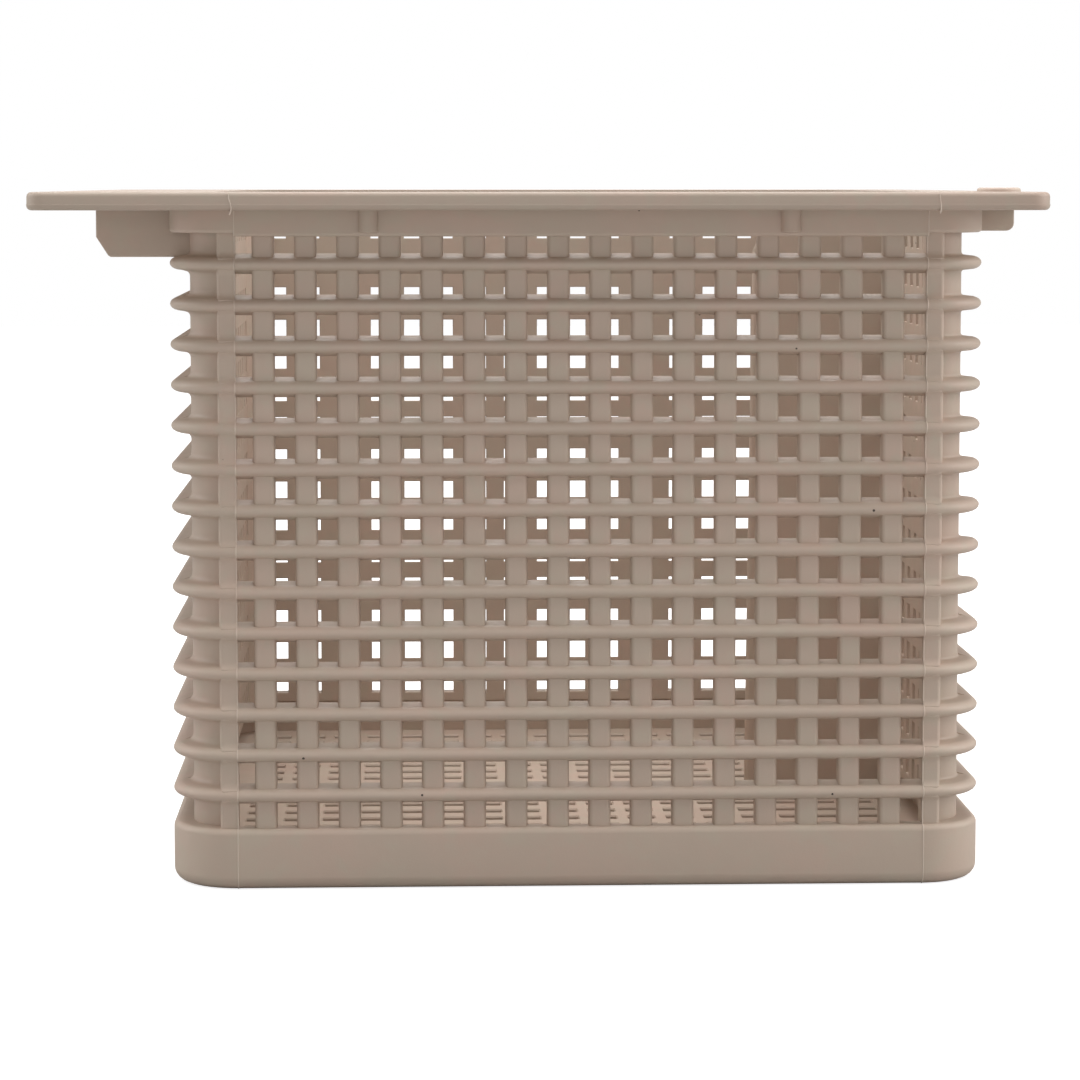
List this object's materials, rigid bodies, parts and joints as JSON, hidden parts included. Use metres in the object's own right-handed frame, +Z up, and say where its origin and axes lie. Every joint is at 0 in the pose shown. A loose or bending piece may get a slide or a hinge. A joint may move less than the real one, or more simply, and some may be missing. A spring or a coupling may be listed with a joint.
{
  "type": "flanged strainer basket",
  "caption": "Rectangular strainer basket with barred walls, outer rib bands, slotted floor, a cross partition and a wide top flange that hangs in an opening",
  "frame": {"origin": "Centre of the whole box in plan, which is the flange's centre, on the plane the base stands on.", "axes": "+Z up through the open mouth, +X to the side where the flange is narrow and the partition meets the wall, -Y towards the barred wall with the round flange button at its right end."},
  "size_m": [0.2418, 0.2552, 0.1702],
  "materials": {
    "cage": "satin as-moulded beige polypropylene",
    "flange": "satin as-moulded beige polypropylene"
  },
  "bodies": {
    "root": {"flange_button": "flange", "floor_grid": "cage", "front_bosses": "cage", "front_collar": "cage", "front_grille": "cage", "front_left_corner_collar": "cage", "front_left_corner_ribs": "cage", "front_left_corner_sill": "cage", "front_left_post": "cage", "front_ribs": "cage", "front_right_corner_collar": "cage", "front_right_corner_ribs": "cage", "front_right_corner_sill": "cage", "front_right_post": "cage", "front_sill": "cage", "left_collar": "cage", "left_grille": "cage", "left_gussets": "cage", "left_ribs": "cage", "left_sill": "cage", "partition_plate": "cage", "rear_bosses": "cage", "rear_collar": "cage", "rear_grille": "cage", "rear_left_corner_collar": "cage", "rear_left_corner_ribs": "cage", "rear_left_corner_sill": "cage", "rear_left_post": "cage", "rear_ribs": "cage", "rear_right_corner_collar": "cage", "rear_right_corner_ribs": "cage", "rear_right_corner_sill": "cage", "rear_right_post": "cage", "rear_sill": "cage", "right_collar": "cage", "right_grille": "cage", "right_gussets": "cage", "right_ribs": "cage", "right_sill": "cage", "rim_flange": "flange"}
  },
  "joints": []
}
